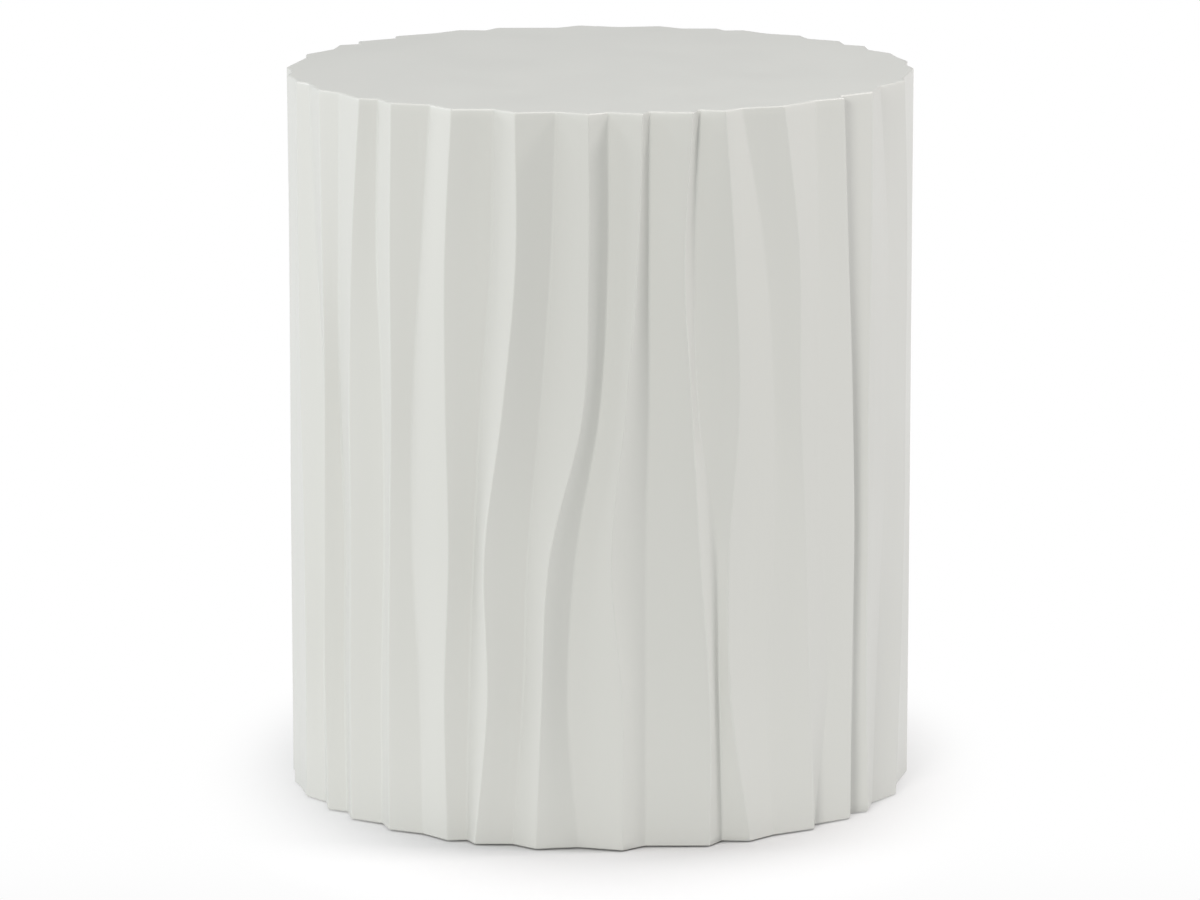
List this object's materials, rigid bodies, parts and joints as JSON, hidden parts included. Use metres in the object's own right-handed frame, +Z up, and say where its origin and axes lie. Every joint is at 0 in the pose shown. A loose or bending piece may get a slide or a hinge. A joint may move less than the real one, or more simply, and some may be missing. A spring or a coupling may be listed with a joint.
{
  "type": "outdoor side table",
  "caption": "Drum-shaped side table: hollow moulded shell with a flat top and flowing vertical ribs, standing on levelling glides inside its foot.",
  "frame": {"origin": "on the floor under the centre of the drum, between the four glide pads", "axes": "+Z up through the tabletop, -Y towards the side that the picture shows, +X to the right of that view"},
  "size_m": [0.439, 0.4394, 0.508],
  "materials": {
    "lacquered_moulding": "satin sprayed lacquer on glass-fibre resin",
    "plywood": "sealed marine plywood",
    "plated_steel": "zinc plated",
    "nylon": "moulded natural nylon"
  },
  "bodies": {
    "table": {"shell": "lacquered_moulding", "top_board": "plywood", "base_ring": "plywood", "glide_inserts": "plated_steel"},
    "pad_1": {"glide_pad_1": "nylon"},
    "bolt_1": {"glide_bolt_1": "plated_steel"},
    "pad_2": {"glide_pad_2": "nylon"},
    "bolt_2": {"glide_bolt_2": "plated_steel"},
    "pad_3": {"glide_pad_3": "nylon"},
    "bolt_3": {"glide_bolt_3": "plated_steel"},
    "pad_4": {"glide_pad_4": "nylon"},
    "bolt_4": {"glide_bolt_4": "plated_steel"}
  },
  "joints": [
    {"name": "glide_1_travel", "type": "slide", "parent": "table", "child": "pad_1", "axis": [0, 0, -1], "range_m": [0, 0.01]},
    {"name": "glide_1_turn", "type": "hinge", "parent": "pad_1", "child": "bolt_1", "pos_m": [0.12374, 0.12374, 0], "axis": [0, 0, -1], "range_deg": [0, 2880]},
    {"name": "glide_2_travel", "type": "slide", "parent": "table", "child": "pad_2", "axis": [0, 0, -1], "range_m": [0, 0.01]},
    {"name": "glide_2_turn", "type": "hinge", "parent": "pad_2", "child": "bolt_2", "pos_m": [-0.12374, 0.12374, 0], "axis": [0, 0, -1], "range_deg": [0, 2880]},
    {"name": "glide_3_travel", "type": "slide", "parent": "table", "child": "pad_3", "axis": [0, 0, -1], "range_m": [0, 0.01]},
    {"name": "glide_3_turn", "type": "hinge", "parent": "pad_3", "child": "bolt_3", "pos_m": [-0.12374, -0.12374, 0], "axis": [0, 0, -1], "range_deg": [0, 2880]},
    {"name": "glide_4_travel", "type": "slide", "parent": "table", "child": "pad_4", "axis": [0, 0, -1], "range_m": [0, 0.01]},
    {"name": "glide_4_turn", "type": "hinge", "parent": "pad_4", "child": "bolt_4", "pos_m": [0.12374, -0.12374, 0], "axis": [0, 0, -1], "range_deg": [0, 2880]}
  ],
  "couplings": [
    {"joint": "glide_1_turn", "follows": "glide_1_travel", "rad_per_m": 5026.5},
    {"joint": "glide_2_turn", "follows": "glide_2_travel", "rad_per_m": 5026.5},
    {"joint": "glide_3_turn", "follows": "glide_3_travel", "rad_per_m": 5026.5},
    {"joint": "glide_4_turn", "follows": "glide_4_travel", "rad_per_m": 5026.5}
  ]
}
